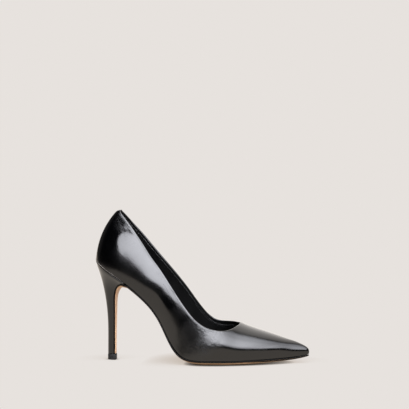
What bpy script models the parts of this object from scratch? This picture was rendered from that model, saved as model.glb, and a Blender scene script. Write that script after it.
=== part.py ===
"""A right pointed toe pump on a stiletto heel: upper, insole, outsole, heel and top piece.

Lengths in the tables are millimetres. x runs from the back of the heel to the toe, y from the lateral
side (negative) to the medial side, and z up from the floor. The feather line is the edge where the wall
of the upper meets the sole.
"""

import bmesh
import bpy
import numpy as np

MILLIMETRE = 0.001

# Thicknesses and clearances
WALL = 1.6
INSOLE_THICK = 2.0
SOLE_EDGE = 1.4
CLEARANCE = 0.3
TOP_PIECE_HEIGHT = 6.0
TOP_PIECE_EDGE = 0.4

# Sections of the last, from the back of the heel to the toe tip. lateral and medial are the half widths
# at the feather line. The ridge is the crown of the section, lean the forward slant of its wall and pitch
# the slope of its crown. The powers set how square the wall and the crown are, and the bulges swell the
# wall past the feather line. The dome is how far the middle of the sole hangs below its edge.
LAST_COLUMNS = (
    "feather_x", "feather_z", "lateral", "medial", "ridge_x", "ridge_y", "ridge_z", "lean", "pitch",
    "wall_power", "crown_power", "bulge_lateral", "bulge_medial", "sole_dome",
)
LAST_ROWS = (
    (-1.0, 103.7, 0.0, 0.0, 55.6, 0.5, 174.0, 13.0, 0.0, 2.55, 1.65, 0.9, 0.9, 0.0),
    (2.6, 101.3, 11.5, 11.5, 56.5, 0.6, 172.0, 15.5, 0.0, 2.50, 1.65, 1.1, 1.1, 1.0),
    (10.8, 96.0, 19.5, 19.0, 60.0, 0.8, 166.0, 23.0, 0.0, 2.20, 1.55, 1.7, 1.8, 1.8),
    (23.0, 88.6, 23.0, 22.2, 67.0, 1.2, 155.0, 35.0, 0.0, 1.65, 1.45, 2.0, 2.6, 2.2),
    (36.0, 79.9, 23.0, 21.0, 77.0, 1.6, 140.0, 38.0, 0.0, 1.68, 1.40, 2.5, 2.9, 2.0),
    (49.0, 68.7, 21.8, 18.8, 87.0, 2.0, 123.0, 36.0, 0.0, 1.95, 1.40, 4.0, 4.0, 1.3),
    (61.0, 56.4, 21.4, 18.0, 96.0, 2.4, 108.0, 35.0, 0.0, 3.00, 1.50, 4.2, 5.3, 1.0),
    (71.5, 40.8, 23.0, 20.5, 105.0, 2.8, 97.0, 33.0, 0.0, 4.20, 1.80, 4.6, 5.0, 1.0),
    (80.0, 24.6, 26.5, 25.0, 113.0, 3.0, 84.0, 32.0, 0.0, 5.80, 2.00, 3.2, 3.8, 1.2),
    (89.0, 12.4, 31.0, 30.5, 121.0, 3.2, 71.0, 31.0, 0.0, 7.20, 2.00, 1.1, 2.4, 1.9),
    (102.0, 6.2, 34.8, 36.0, 131.0, 3.5, 58.0, 28.0, 0.0, 4.00, 2.00, 0.7, 1.2, 3.1),
    (119.0, 5.1, 35.4, 38.0, 142.0, 3.9, 46.0, 22.0, 0.0, 3.30, 2.00, 1.0, 0.6, 3.6),
    (140.0, 5.0, 31.3, 36.2, 155.0, 4.4, 38.2, 14.0, 0.0, 3.10, 2.00, 0.4, 0.6, 3.5),
    (162.0, 5.3, 24.0, 32.0, 170.0, 4.9, 33.2, 8.0, 0.0, 3.50, 2.00, 0.7, 0.8, 3.2),
    (184.0, 6.1, 14.5, 24.5, 186.0, 5.2, 28.3, 4.0, 0.03, 4.30, 2.00, 1.0, 1.0, 2.5),
    (203.0, 6.9, 4.0, 15.0, 199.0, 5.4, 24.2, 0.0, 0.14, 5.60, 2.00, 0.9, 0.9, 1.5),
    (214.0, 8.1, -1.4, 9.8, 205.0, 5.5, 22.4, 0.0, 0.30, 5.60, 2.00, 0.7, 0.7, 0.7),
    (219.8, 9.0, -5.5, 5.5, 207.0, 5.5, 21.6, 0.0, 0.35, 6.00, 2.00, 0.5, 0.5, 0.0),
)

# Height of the top edge of the upper, seen from the side, from the back seam to past the throat
TOPLINE_COLUMNS = ("x", "lateral", "medial")
TOPLINE_ROWS = (
    (24.0, 156.0, 156.0),
    (36.0, 143.8, 140.0),
    (44.0, 133.9, 130.3),
    (52.0, 122.3, 120.9),
    (58.0, 112.5, 114.0),
    (66.0, 101.8, 105.0),
    (80.0, 81.7, 89.1),
    (95.0, 60.7, 69.0),
    (108.0, 46.4, 50.0),
    (120.0, 39.1, 40.6),
    (132.0, 36.2, 39.0),
    (142.0, 36.9, 39.2),
    (148.5, 40.0, 40.4),
    (155.0, 45.0, 45.0),
)

# Sections of the heel from the seat to the tip. The breast is the front edge of the outsole where it
# runs down the heel, the back is the rear outline, and seat_share is how far the section keeps the
# outline of the seat instead of an oval.
HEEL_COLUMNS = ("breast_x", "breast_z", "lateral", "medial", "dome", "back_x", "back_z", "seat_share")
HEEL_ROWS = (
    (32.8, 78.5, 22.6, 21.0, 2.2, -0.7, 101.9, 1.00),
    (29.7, 78.9, 20.4, 19.2, 2.4, 0.4, 98.0, 0.90),
    (26.6, 78.0, 17.0, 16.3, 2.3, 2.2, 93.2, 0.75),
    (23.8, 75.5, 13.4, 13.0, 1.7, 3.8, 88.2, 0.55),
    (21.9, 71.8, 10.4, 10.2, 1.0, 5.3, 82.8, 0.35),
    (20.7, 66.9, 8.2, 8.1, 0.5, 7.0, 75.5, 0.20),
    (20.2, 57.3, 6.2, 6.2, 0.3, 9.2, 63.5, 0.10),
    (20.0, 42.6, 4.8, 4.8, 0.3, 11.1, 46.0, 0.00),
    (19.7, 20.6, 4.0, 4.0, 0.3, 11.6, 21.5, 0.00),
    (19.6, 6.5, 4.0, 4.0, 0.3, 11.5, 6.5, 0.00),
)
OVAL_POWER = 2.2
SWELL_PEAK = 27 / 4
BREAST_START_X = 37.0
SOLE_DOME_POWER = 6.0

# Plan of the top piece under the heel tip
TOP_PIECE_BACK = 11.3
TOP_PIECE_FRONT = 20.0
TOP_PIECE_HALF_WIDTH = 4.2

# Numbers of steps in the faceted skins, how strongly they crowd towards the heel, the toe and the foot,
# and the angle from which an edge is shaded sharp
OPEN_STEPS = 38
VAMP_STEPS = 16
WALL_STEPS = 13
ACROSS_STEPS = 8
INSOLE_ACROSS_STEPS = 4
BREAST_STEPS = 26
HEEL_RING_STEPS = 26
FINE_STEPS = 400
HEEL_CROWDING = 1.15
TOE_CROWDING = 1.6
FOOT_CROWDING = 1.5
SHARP_ANGLE = np.radians(35)


def columns(names, rows):
    return dict(zip(names, np.array(rows, float).T))


def spline(knots, values, closed=False):
    """A smooth curve through rows of values at the knots. A closed one ends on its first row."""
    knots = np.asarray(knots, float)
    values = np.asarray(values, float)
    last = len(knots) - 1
    step = np.diff(knots)
    slope = np.diff(values, axis=0) / step[:, None]
    matrix = np.eye(last + 1)
    bends = np.zeros_like(values)
    for i in range(1, last):
        matrix[i, i - 1 : i + 2] = step[i - 1], 2 * (step[i - 1] + step[i]), step[i]
        bends[i] = 6 * (slope[i] - slope[i - 1])
    if closed:
        matrix[0, last] = -1
        matrix[last, [last - 1, 0, 1]] = step[-1], 2 * (step[-1] + step[0]), step[0]
        matrix[last, last] = 0
        bends[last] = 6 * (slope[0] - slope[-1])
    bends = np.linalg.solve(matrix, bends)

    def curve(places):
        places = np.clip(np.asarray(places, float), knots[0], knots[-1])
        i = np.clip(np.searchsorted(knots, places, side="right") - 1, 0, last - 1)
        width = step[i][..., None]
        after = (places - knots[i])[..., None]
        before = width - after
        cubic = (bends[i] * before**3 + bends[i + 1] * after**3) / (6 * width)
        low = (values[i] / width - bends[i] * width / 6) * before
        high = (values[i + 1] / width - bends[i + 1] * width / 6) * after
        return cubic + low + high

    return curve


def travelled(points):
    """Distance along a line of points, from its first."""
    steps = np.linalg.norm(np.diff(points, axis=0), axis=1)
    return np.concatenate([[0.0], np.cumsum(steps)])


last_table = columns(LAST_COLUMNS, LAST_ROWS)
topline_table = columns(TOPLINE_COLUMNS, TOPLINE_ROWS)
heel_table = columns(HEEL_COLUMNS, HEEL_ROWS)

# Stations run along the feather line from the back seam to the toe tip: the lateral side is negative.
side_lengths = [
    travelled(np.stack([last_table["feather_x"], last_table[side], last_table["feather_z"]], axis=1))
    for side in ("lateral", "medial")
]
ROW_STATIONS = np.mean(side_lengths, axis=0)
TOE = ROW_STATIONS[-1]


def side_rows(side, sign):
    names = ("ridge_x", "ridge_y", "ridge_z", "lean", "pitch", "wall_power", "crown_power")
    shared = [last_table[name] for name in names]
    return np.stack(
        [last_table["feather_x"], sign * last_table[side], *shared, last_table["bulge_" + side]], axis=1
    )


section_at = spline(
    np.concatenate([-ROW_STATIONS[::-1], ROW_STATIONS[1:]]),
    np.concatenate([side_rows("lateral", -1)[::-1], side_rows("medial", 1)[1:]]),
    closed=True,
)
feather_height = spline(last_table["feather_x"], last_table["feather_z"][:, None])
dome_height = spline(last_table["feather_x"], last_table["sole_dome"][:, None])
topline_height = spline(
    topline_table["x"], np.stack([topline_table["lateral"], topline_table["medial"]], axis=1)
)


def wall_point(station, turn, inset=0.0):
    """A point of the last: turn goes from 0 at the feather line to a quarter circle at the ridge."""
    section = section_at(station)
    feather_xy, ridge_xy = section[..., 0:2], section[..., 2:4]
    ridge_z, lean, pitch, wall_power, crown_power, bulge = np.moveaxis(section[..., 4:10], -1, 0)
    slant = np.stack([lean, np.zeros_like(lean)], axis=-1)
    reach = ridge_xy - feather_xy - slant
    reach_length = np.linalg.norm(reach, axis=-1, keepdims=True)
    inward = reach / reach_length
    foot_xy = feather_xy + inward * inset
    foot_z = feather_height(foot_xy[..., 0])[..., 0]
    rise = np.sin(turn) ** (2 / wall_power)
    fold = 1 - np.maximum(np.cos(turn), 0.0) ** (2 / crown_power)
    swell = bulge * SWELL_PEAK * rise * (1 - rise) ** 2
    sideways = (reach - inward * inset) * fold[..., None] - inward * swell[..., None]
    xy = foot_xy + slant * rise[..., None] + sideways
    crown_climb = pitch * reach_length[..., 0]
    z = foot_z + (ridge_z - inset - foot_z - crown_climb) * rise + crown_climb * fold
    return np.concatenate([xy, z[..., None]], axis=-1)


def topline_turn(stations):
    """The turn at which each section reaches the top edge, by halving."""
    side = (stations > 0).astype(int)
    low = np.zeros_like(stations)
    high = np.full_like(stations, np.pi / 2)
    for _ in range(40):
        middle = (low + high) / 2
        point = wall_point(stations, middle)
        edge = np.take_along_axis(topline_height(point[:, 0]), side[:, None], axis=1)[:, 0]
        below = point[:, 2] < edge
        low = np.where(below, middle, low)
        high = np.where(below, high, middle)
    return high


def throat_station():
    """The station whose ridge lies on the top edge."""
    low, high = ROW_STATIONS[9], TOE
    for _ in range(40):
        middle = (low + high) / 2
        ridge = wall_point(np.array([middle]), np.array([np.pi / 2]))[0]
        edge = topline_height(ridge[0]).mean()
        low, high = (middle, high) if ridge[2] > edge else (low, middle)
    return high


THROAT = throat_station()


def vamp_stations():
    """Stations of one side past the throat, closer together round the toe tip."""
    return THROAT + (TOE - THROAT) * (1 - np.linspace(1, 0, VAMP_STEPS + 1)[1:] ** TOE_CROWDING)


def foot_stations():
    """Stations of one side where the lines of the wall leave the feather line, closer round the heel."""
    open_share = np.linspace(0, 1, OPEN_STEPS + 1) ** HEEL_CROWDING
    return np.concatenate([THROAT * open_share, vamp_stations()])


def edge_stations(sign):
    """Stations and turns of one side where those lines end: on the top edge, then on the ridge."""
    fine = THROAT * (1 - np.linspace(1, 0, FINE_STEPS) ** 2)
    fine_turn = topline_turn(sign * fine)
    fine_turn[-1] = np.pi / 2
    length = travelled(wall_point(sign * fine, fine_turn))
    wanted = foot_stations()[: OPEN_STEPS + 1] / THROAT * length[-1]
    vamp = vamp_stations()
    stations = np.concatenate([np.interp(wanted, length, fine), vamp])
    turns = np.concatenate([np.interp(wanted, length, fine_turn), np.full_like(vamp, np.pi / 2)])
    return stations, turns


def wall_lines(sign):
    """Stations and turns of the wall of one side, with the length of each line shared out evenly."""
    fine = np.linspace(0, 1, FINE_STEPS) ** FOOT_CROWDING
    steps = np.linspace(0, 1, WALL_STEPS + 1)
    stations, turns = [], []
    for foot, edge, edge_turn in zip(foot_stations(), *edge_stations(sign)):
        line_stations = sign * (foot + (edge - foot) * fine)
        line_turns = edge_turn * fine
        length = travelled(wall_point(line_stations, line_turns))
        wanted = steps * length[-1]
        stations.append(np.interp(wanted, length, line_stations))
        turns.append(np.interp(wanted, length, line_turns))
    return np.array(stations), np.array(turns)


class Skin:
    """Points and faces of one closed piece."""

    def __init__(self):
        self.points = []
        self.faces = []

    def add(self, points):
        points = np.asarray(points, float)
        start = len(self.points)
        self.points.extend(points.reshape(-1, 3))
        return np.arange(start, start + points.size // 3).reshape(points.shape[:-1])

    def join(self, grid):
        for near, far in zip(grid[:-1], grid[1:]):
            for corner in zip(near[:-1], near[1:], far[1:], far[:-1]):
                self.faces.append([int(i) for i in corner])


def upper():
    lateral, medial = wall_lines(-1), wall_lines(1)
    stations, turns = (np.concatenate([left[:0:-1], right]) for left, right in zip(lateral, medial))
    skin = Skin()
    outer = skin.add(wall_point(stations, turns))
    inner = skin.add(wall_point(stations, turns, WALL))
    skin.join(outer)
    skin.join(inner)
    skin.join(np.stack([outer[:, 0], inner[:, 0]], axis=1))
    back = len(outer) // 2
    opening = slice(back - OPEN_STEPS, back + OPEN_STEPS + 1)
    skin.join(np.stack([outer[opening, -1], inner[opening, -1]], axis=1))
    return skin


def below_feather(x, depth):
    """Points (x, z) at a depth square to the feather line, below it where positive."""
    x = np.asarray(x, float)
    small = 0.01
    slope = (feather_height(x + small) - feather_height(x - small))[..., 0] / (2 * small)
    tilt = np.sqrt(1 + slope**2)
    return x + depth * slope / tilt, feather_height(x)[..., 0] - depth / tilt


def outline(stations, inset):
    """Lateral and medial plan points of the feather line, drawn in by the inset."""
    flat = np.zeros_like(stations)
    lateral = wall_point(-stations, flat, inset)[:, :2]
    medial = wall_point(stations, flat, inset)[:, :2]
    return lateral, medial


def across(lateral, medial, steps):
    """Rows of plan points from the lateral side to the medial side, and their share from -1 to 1."""
    share = np.linspace(-1, 1, steps + 1)
    mix = (share + 1) / 2
    rows = lateral[:, None] * (1 - mix)[None, :, None] + medial[:, None] * mix[None, :, None]
    return rows, np.repeat(share[None], len(lateral), axis=0)


def plate(top, bottom):
    """A closed skin between two grids of points that share their ends."""
    skin = Skin()
    upper_grid = skin.add(top)
    lower_grid = skin.add(bottom)
    skin.join(upper_grid)
    skin.join(lower_grid)
    for side in (0, -1):
        skin.join(np.stack([upper_grid[:, side], lower_grid[:, side]], axis=1))
        skin.join(np.stack([upper_grid[side], lower_grid[side]], axis=1))
    return skin


def insole():
    stations = foot_stations()
    lateral, medial = outline(stations, WALL + CLEARANCE)
    rows, _ = across(lateral, medial, INSOLE_ACROSS_STEPS)

    def layer(height):
        x, z = below_feather(rows[..., 0], -height)
        return np.stack([x, rows[..., 1], z], axis=-1)

    return plate(layer(INSOLE_THICK), layer(0.0))


def breast_path():
    """Front edge of the outsole from the waist down the breast: rows of x, z, half widths and dome."""
    lead_x = np.array([49.0, 43.0, BREAST_START_X])
    lead_path_x, lead_path_z = below_feather(lead_x, CLEARANCE + SOLE_EDGE)
    lead_stations = np.interp(lead_x, last_table["feather_x"], ROW_STATIONS)
    lateral, medial = outline(lead_stations, 0.0)
    lead_dome = dome_height(lead_x)[:, 0]
    lead = np.stack([lead_path_x, lead_path_z, -lateral[:, 1], medial[:, 1], lead_dome], axis=1)
    names = ("breast_x", "breast_z", "lateral", "medial", "dome")
    rows = np.concatenate([lead, np.stack([heel_table[name] for name in names], axis=1)])
    knots = travelled(rows[:, :2])
    return spline(knots, rows), knots[2:]


breast_at, BREAST_KNOTS = breast_path()


def breast_frame(places):
    """Rows of the breast path, with the direction square to it that points into the heel."""
    rows = breast_at(places)
    small = 0.05
    ahead = breast_at(places + small)[:, :2] - breast_at(places - small)[:, :2]
    ahead /= np.linalg.norm(ahead, axis=1, keepdims=True)
    into_heel = np.stack([ahead[:, 1], -ahead[:, 0]], axis=1)
    return rows, into_heel


def outsole():
    stations = foot_stations()[::-1]
    lateral, medial = outline(stations, 0.0)
    kept = lateral[:, 0] > BREAST_START_X + 1.0
    plan, share = across(lateral[kept], medial[kept], ACROSS_STEPS)
    swell = 1 - np.abs(share) ** SOLE_DOME_POWER
    top_x, top_z = below_feather(plan[..., 0], CLEARANCE)
    depth = CLEARANCE + SOLE_EDGE + dome_height(plan[..., 0])[..., 0] * swell
    low_x, low_z = below_feather(plan[..., 0], depth)
    top = np.stack([top_x, plan[..., 1], top_z], axis=-1)
    bottom = np.stack([low_x, plan[..., 1], np.maximum(low_z, 0.0)], axis=-1)

    places = np.linspace(BREAST_KNOTS[0], BREAST_KNOTS[-1], BREAST_STEPS + 1)
    rows, into_heel = breast_frame(places)
    flap_plan, flap_share = across(
        np.stack([rows[:, 0], -rows[:, 2]], axis=1), np.stack([rows[:, 0], rows[:, 3]], axis=1), ACROSS_STEPS
    )
    flap_swell = rows[:, 4:5] * (1 - np.abs(flap_share) ** SOLE_DOME_POWER)
    front_x = rows[:, 0:1] - into_heel[:, 0:1] * flap_swell
    front_z = rows[:, 1:2] - into_heel[:, 1:2] * flap_swell
    rear_x = np.repeat(rows[:, 0:1] + into_heel[:, 0:1] * SOLE_EDGE, ACROSS_STEPS + 1, axis=1)
    rear_z = np.repeat(rows[:, 1:2] + into_heel[:, 1:2] * SOLE_EDGE, ACROSS_STEPS + 1, axis=1)
    flap_top = np.stack([rear_x, flap_plan[..., 1], rear_z], axis=-1)
    flap_bottom = np.stack([front_x, flap_plan[..., 1], front_z], axis=-1)
    return plate(np.concatenate([top, flap_top]), np.concatenate([bottom, flap_bottom]))


def seat_ring(share):
    """The seat outline from the lateral front corner round the back: (forward part, sideways part)."""
    front = np.interp(heel_table["breast_x"][0], last_table["feather_x"], ROW_STATIONS)
    stations = (2 * share - 1) * front
    points = wall_point(stations, np.zeros_like(stations))
    depth = (points[0, 0] - points[:, 0]) / (points[0, 0] - last_table["feather_x"][0])
    half_width = np.where(share < 0.5, -points[0, 1], points[-1, 1])
    return np.stack([np.clip(depth, 0, 1), points[:, 1] / half_width], axis=1)


def oval_ring(share):
    """An oval from the lateral front corner round the back, in the same terms."""
    angle = np.pi * share
    depth = np.sin(angle) ** (2 / OVAL_POWER)
    sideways = -np.sign(np.cos(angle)) * np.abs(np.cos(angle)) ** (2 / OVAL_POWER)
    return np.stack([depth, sideways], axis=1)


def ring_points(ring, front, back, lateral, medial):
    along = np.outer(1 - ring[:, 0], front) + np.outer(ring[:, 0], back)
    sideways = np.where(ring[:, 1] < 0, lateral, medial) * ring[:, 1]
    return np.stack([along[:, 0], sideways, along[:, 1]], axis=1)


def ring_stack(rings):
    """A closed skin of rings set one below the other, with a flat front face and flat ends."""
    skin = Skin()
    grid = skin.add(np.array(rings))
    skin.join(grid)
    half = HEEL_RING_STEPS // 2
    folded = np.stack([grid[:, : half + 1], grid[:, half:][:, ::-1]], axis=-1)
    skin.join(folded[:, 0])
    for end in (0, -1):
        skin.join(folded[end])
    return skin


def heel():
    share = np.linspace(0, 1, HEEL_RING_STEPS + 1)
    seat, oval = seat_ring(share), oval_ring(share)
    back_at = spline(
        BREAST_KNOTS[1:] - BREAST_KNOTS[1],
        np.stack([heel_table["back_x"], heel_table["back_z"], heel_table["seat_share"]], axis=1),
    )
    places = np.linspace(BREAST_KNOTS[1], BREAST_KNOTS[-1], BREAST_STEPS + 1)
    rows, into_heel = breast_frame(places)
    fronts = rows[:, :2] + into_heel * (SOLE_EDGE + CLEARANCE)
    backs = back_at(places - BREAST_KNOTS[1])
    rings = []
    for row, front, back in zip(rows, fronts, backs):
        blend = np.clip(back[2], 0, 1)
        ring = seat * blend + oval * (1 - blend)
        rings.append(ring_points(ring, front, back[:2], row[2], row[3]))
    seat_plan = rings[0]
    seat_x, seat_z = below_feather(seat_plan[:, 0], CLEARANCE)
    top = np.stack([seat_x, seat_plan[:, 1], seat_z], axis=1)
    return ring_stack([top, *rings])


def top_piece():
    share = np.linspace(0, 1, HEEL_RING_STEPS + 1)
    oval = oval_ring(share)
    rings = []
    for z, drawn_in in ((0.0, TOP_PIECE_EDGE), (TOP_PIECE_EDGE, 0.0), (TOP_PIECE_HEIGHT, 0.0)):
        half_width = TOP_PIECE_HALF_WIDTH - drawn_in
        front = (TOP_PIECE_FRONT - drawn_in, z)
        back = (TOP_PIECE_BACK + drawn_in, z)
        rings.append(ring_points(oval, front, back, half_width, half_width))
    return ring_stack(rings)


# Look of each piece: red, green, blue, roughness
PIECES = {
    "upper": (upper, (0.012, 0.012, 0.013), 0.28),
    "insole": (insole, (0.015, 0.014, 0.014), 0.55),
    "outsole": (outsole, (0.50, 0.31, 0.18), 0.5),
    "heel": (heel, (0.012, 0.012, 0.013), 0.28),
    "top_piece": (top_piece, (0.02, 0.02, 0.02), 0.6),
}


def material(name, colour, roughness):
    made = bpy.data.materials.new(name)
    made.use_nodes = True
    shader = made.node_tree.nodes["Principled BSDF"]
    shader.inputs["Base Color"].default_value = (*colour, 1.0)
    shader.inputs["Roughness"].default_value = roughness
    shader.inputs["Metallic"].default_value = 0.0
    return made


def place(name, skin, origin, colour, roughness):
    """Makes the closed mesh of a piece, in metres from the origin."""
    mesh = bpy.data.meshes.new(name)
    points = (np.array(skin.points) - origin) * MILLIMETRE
    mesh.from_pydata([tuple(point) for point in points], [], skin.faces)
    work = bmesh.new()
    work.from_mesh(mesh)
    bmesh.ops.remove_doubles(work, verts=work.verts, dist=1e-6)
    bmesh.ops.dissolve_degenerate(work, dist=1e-7, edges=work.edges)
    bmesh.ops.recalc_face_normals(work, faces=work.faces)
    work.to_mesh(mesh)
    work.free()
    mesh.shade_smooth()
    mesh.set_sharp_from_angle(angle=SHARP_ANGLE)
    mesh.materials.append(material(name, colour, roughness))
    bpy.context.collection.objects.link(bpy.data.objects.new(name, mesh))


def main():
    for old in list(bpy.data.objects):
        bpy.data.objects.remove(old, do_unlink=True)
    skins = {name: make() for name, (make, _, _) in PIECES.items()}
    points = np.concatenate([np.array(skin.points) for skin in skins.values()])
    low, high = points.min(axis=0), points.max(axis=0)
    origin = np.array([(low[0] + high[0]) / 2, (low[1] + high[1]) / 2, low[2]])
    for name, (_, colour, roughness) in PIECES.items():
        place(name, skins[name], origin, colour, roughness)


main()
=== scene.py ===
"""Looks of a right pointed toe pump: glossy black leather, tan sole leather and a pale studio.

Lengths in the tables are millimetres in the shoe's own frame: x runs from the back of the heel to the toe,
y from the lateral side (negative) to the medial side, and z up from the floor. The feather line is the edge
where the wall of the upper meets the sole. Places of the floor and the lights are metres.
"""

import bmesh
import bpy
import numpy as np
from mathutils import Euler, Matrix, Vector


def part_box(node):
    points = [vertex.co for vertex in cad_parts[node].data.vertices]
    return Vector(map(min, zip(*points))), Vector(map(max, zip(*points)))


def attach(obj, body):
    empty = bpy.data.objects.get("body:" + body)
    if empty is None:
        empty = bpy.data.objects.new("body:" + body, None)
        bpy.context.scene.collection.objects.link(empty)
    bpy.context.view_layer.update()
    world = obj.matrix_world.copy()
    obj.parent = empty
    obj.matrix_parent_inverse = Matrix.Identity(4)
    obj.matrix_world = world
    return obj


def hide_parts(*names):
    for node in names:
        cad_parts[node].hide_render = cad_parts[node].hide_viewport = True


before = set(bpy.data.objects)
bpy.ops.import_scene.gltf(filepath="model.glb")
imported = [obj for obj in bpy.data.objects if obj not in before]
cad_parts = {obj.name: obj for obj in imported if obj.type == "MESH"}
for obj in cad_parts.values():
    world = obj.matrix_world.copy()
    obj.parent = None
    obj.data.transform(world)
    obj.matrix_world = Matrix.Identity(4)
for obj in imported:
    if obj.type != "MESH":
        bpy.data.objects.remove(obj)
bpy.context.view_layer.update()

MILLIMETRE = 0.001

# Thicknesses and clearances
WALL = 1.6
SOLE_EDGE = 1.4
CLEARANCE = 0.3

# The folded top edge of the upper, the leather below it and the lining inside
RIM_HALF_THICKNESS = 0.75
RIM_DROP = 2.9
LEATHER = 1.0
FOLD_DEPTH = 1.6
FOLD_HIDDEN = 1.5
LINING_OUTER = 1.05
LINING_INNER = 1.75
FEATHER_ROUND = 0.5

# Over the heel the foot of the upper is rounder as far as the places x of the seat's end. A painted highlight
# lightens its edge up to a height that shrinks towards a place x, and the heel is set back below it by a
# groove
SEAT_ROUND = 0.6
SEAT_END = (34.0, 44.0)
HIGHLIGHT_STRIP_HEIGHT = 1.3
HIGHLIGHT_STRIP_END = 40.0
HEEL_GROOVE = 0.35
HEEL_SET_BACK = 0.55
HEEL_SET_BACK_RINGS = 4.0

# The folded edge from the wall up: a pressed line, a flat face that leans back in degrees, with rings at
# shares of its height, and a round top
RIM_PRESS_DEPTH = 0.15
RIM_PRESS_WIDTH = 0.4
RIM_FACE = 1.25
RIM_FACE_LEAN = 8.0
RIM_FACE_SHARES = (0.0, 0.15, 0.85, 1.0)
RIM_LEAST_ROUND = 0.3

# Wrinkles below the collar on the lateral side, each a soft line seen from the side: start x and z, end x
# and z, half width and depth. It is a trough where the depth is positive and a ridge where it is negative,
# and fades at both ends between two shares of its length.
WRINKLE_FADE = (-0.15, 0.3)
WRINKLE_ROWS = (
    (23.5, 148.5, 31.0, 140.5, 1.2, 0.11),
    (26.0, 143.5, 34.5, 136.0, 1.3, 0.14),
    (29.0, 139.5, 33.5, 135.0, 1.1, 0.09),
    (30.5, 146.5, 38.0, 137.0, 1.2, -0.08),
    (25.0, 138.5, 29.5, 133.5, 1.2, 0.06),
    (34.0, 141.5, 42.0, 131.5, 1.4, 0.06),
)

# The side seam on the medial side, seen from the side: the quarter lies over the vamp by its step
SEAM_TOP = (97.5, 66.0)
SEAM_FOOT = (86.0, 14.0)
SEAM_STEP = 0.13
SEAM_EDGE = 0.3
SEAM_FADE = 30.0

# Stitches: their pitch, length, half width and steps, how far the rows lie below the edges beside them and
# between which places x, how far from the seam its row lies, and on which lines of the wall's grid
STITCH_PITCH = 2.4
STITCH_LENGTH = 1.5
STITCH_HALF_WIDTH = 0.22
STITCH_SIDES = 8
STITCH_RINGS = 6
HEM_ROW_DROP = 3.6
HEM_ROW_FROM_X = 73.0
HEM_ROW_TO_X = 87.0
LINING_ROW_DROP = 1.4
LINING_ROW_FROM_X = 98.0
SEAM_ROW_OFFSET = 1.6
SEAM_ROW_LINES = slice(2, -3)

# The underside of the sole is black in a band along its edge, widest at the waist and the toe: x and
# width. It takes up a number of the grid's lines, and there is a least width and a most share of the sole.
UNDERSIDE_BLACK_ROWS = (
    (30.0, 0.0), (38.0, 2.6), (60.0, 3.4), (88.0, 3.4), (100.0, 1.4),
    (112.0, 0.7), (160.0, 0.7), (176.0, 2.2), (205.0, 2.6), (222.0, 2.6),
)
UNDERSIDE_BLACK_LINES = 5
UNDERSIDE_BLACK_LEAST = 0.02
UNDERSIDE_BLACK_MOST_SHARE = 0.9

# Sections of the last, from the back of the heel to the toe tip. lateral and medial are the half widths
# at the feather line. The ridge is the crown of the section, lean the forward slant of its wall and pitch
# the slope of its crown. The powers set how square the wall and the crown are, and the bulges swell the
# wall past the feather line. The dome is how far the middle of the sole hangs below its edge.
LAST_COLUMNS = (
    "feather_x", "feather_z", "lateral", "medial", "ridge_x", "ridge_y", "ridge_z", "lean", "pitch",
    "wall_power", "crown_power", "bulge_lateral", "bulge_medial", "sole_dome",
)
LAST_ROWS = (
    (-1.0, 103.7, 0.0, 0.0, 55.6, 0.5, 174.0, 13.0, 0.0, 2.55, 1.65, 0.9, 0.9, 0.0),
    (2.6, 101.3, 11.5, 11.5, 56.5, 0.6, 172.0, 15.5, 0.0, 2.50, 1.65, 1.1, 1.1, 1.0),
    (10.8, 96.0, 19.5, 19.0, 60.0, 0.8, 166.0, 23.0, 0.0, 2.45, 1.55, 1.7, 1.8, 1.8),
    (23.0, 88.6, 23.0, 22.2, 67.0, 1.2, 155.0, 35.0, 0.0, 1.80, 1.45, 2.0, 2.6, 2.2),
    (36.0, 79.9, 23.0, 21.0, 77.0, 1.6, 140.0, 38.0, 0.0, 1.68, 1.40, 2.5, 2.9, 2.0),
    (49.0, 68.7, 21.8, 18.8, 87.0, 2.0, 123.0, 36.0, 0.0, 1.95, 1.40, 4.0, 4.0, 1.3),
    (61.0, 56.4, 21.4, 18.0, 96.0, 2.4, 108.0, 35.0, 0.0, 3.00, 1.50, 4.2, 5.3, 1.0),
    (71.5, 40.8, 23.0, 20.5, 105.0, 2.8, 97.0, 33.0, 0.0, 4.20, 1.80, 4.6, 5.0, 1.0),
    (80.0, 24.6, 26.5, 25.0, 113.0, 3.0, 84.0, 32.0, 0.0, 5.80, 2.00, 3.2, 3.8, 1.2),
    (89.0, 12.4, 31.0, 30.5, 121.0, 3.2, 71.0, 31.0, 0.0, 7.20, 2.00, 1.1, 2.4, 1.9),
    (102.0, 6.2, 34.8, 36.0, 131.0, 3.5, 58.0, 28.0, 0.0, 4.00, 2.00, 0.7, 1.2, 3.1),
    (119.0, 5.1, 35.4, 38.0, 142.0, 3.9, 46.0, 22.0, 0.0, 3.30, 2.00, 1.0, 0.6, 3.6),
    (140.0, 5.0, 31.3, 36.2, 155.0, 4.4, 38.2, 14.0, 0.0, 3.10, 2.00, 0.4, 0.6, 3.5),
    (162.0, 5.3, 24.0, 32.0, 170.0, 4.9, 33.2, 8.0, 0.0, 3.50, 2.00, 0.7, 0.8, 3.2),
    (184.0, 6.1, 14.5, 24.5, 186.0, 5.2, 28.3, 4.0, 0.03, 4.30, 2.00, 1.0, 1.0, 2.5),
    (203.0, 6.9, 4.0, 15.0, 199.0, 5.4, 24.2, 0.0, 0.14, 5.60, 2.00, 0.9, 0.9, 1.5),
    (214.0, 8.1, -1.4, 9.8, 205.0, 5.5, 22.4, 0.0, 0.30, 5.60, 2.00, 0.7, 0.7, 0.7),
    (219.8, 9.0, -5.5, 5.5, 207.0, 5.5, 21.6, 0.0, 0.35, 6.00, 2.00, 0.5, 0.5, 0.0),
)

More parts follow.
